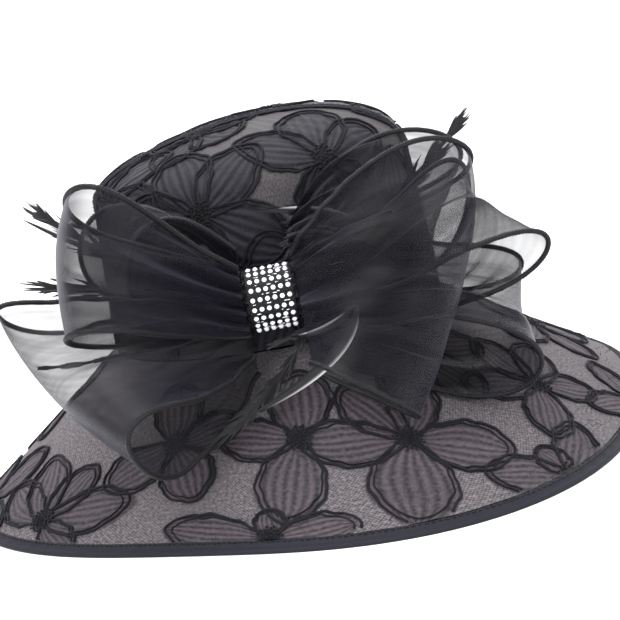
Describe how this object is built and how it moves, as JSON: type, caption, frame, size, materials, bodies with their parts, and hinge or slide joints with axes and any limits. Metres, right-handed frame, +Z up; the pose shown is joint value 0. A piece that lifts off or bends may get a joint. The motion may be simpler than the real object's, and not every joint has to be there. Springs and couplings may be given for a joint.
{
  "type": "wide-brim hat",
  "caption": "Dress hat with a domed lace crown, a wide sloping brim with a bound edge, and a large sheer ribbon bow with a crystal band and feathers at the front.",
  "frame": {"origin": "on the surface the rim rests on, under the middle of the hat's box", "axes": "+Z up out of the crown, -Y to the front where the bow is, +X to the right of someone who looks at the bow"},
  "size_m": [0.4202, 0.4059, 0.206],
  "materials": {
    "lace": "black embroidered lace over sheer taupe mesh",
    "edge": "folded and stitched black mesh",
    "ribbon": "sheer black organza with rolled edges",
    "crystal": "clear foil-backed cut stones on black mesh",
    "feather": "glossy stripped feather"
  },
  "bodies": {
    "root": {"crown_front": "lace", "crown_back": "lace", "brim": "lace", "brim_binding": "edge", "bow_knot": "ribbon", "rhinestone_band": "crystal", "loop_upper_left": "ribbon", "loop_lower_left": "ribbon", "loop_back_left": "ribbon", "loop_upper_right": "ribbon", "loop_lower_right": "ribbon", "loop_back_right": "ribbon", "loop_right": "ribbon", "feather_far_left": "feather", "feather_left": "feather", "feather_right": "feather", "feather_low": "feather"}
  },
  "joints": []
}
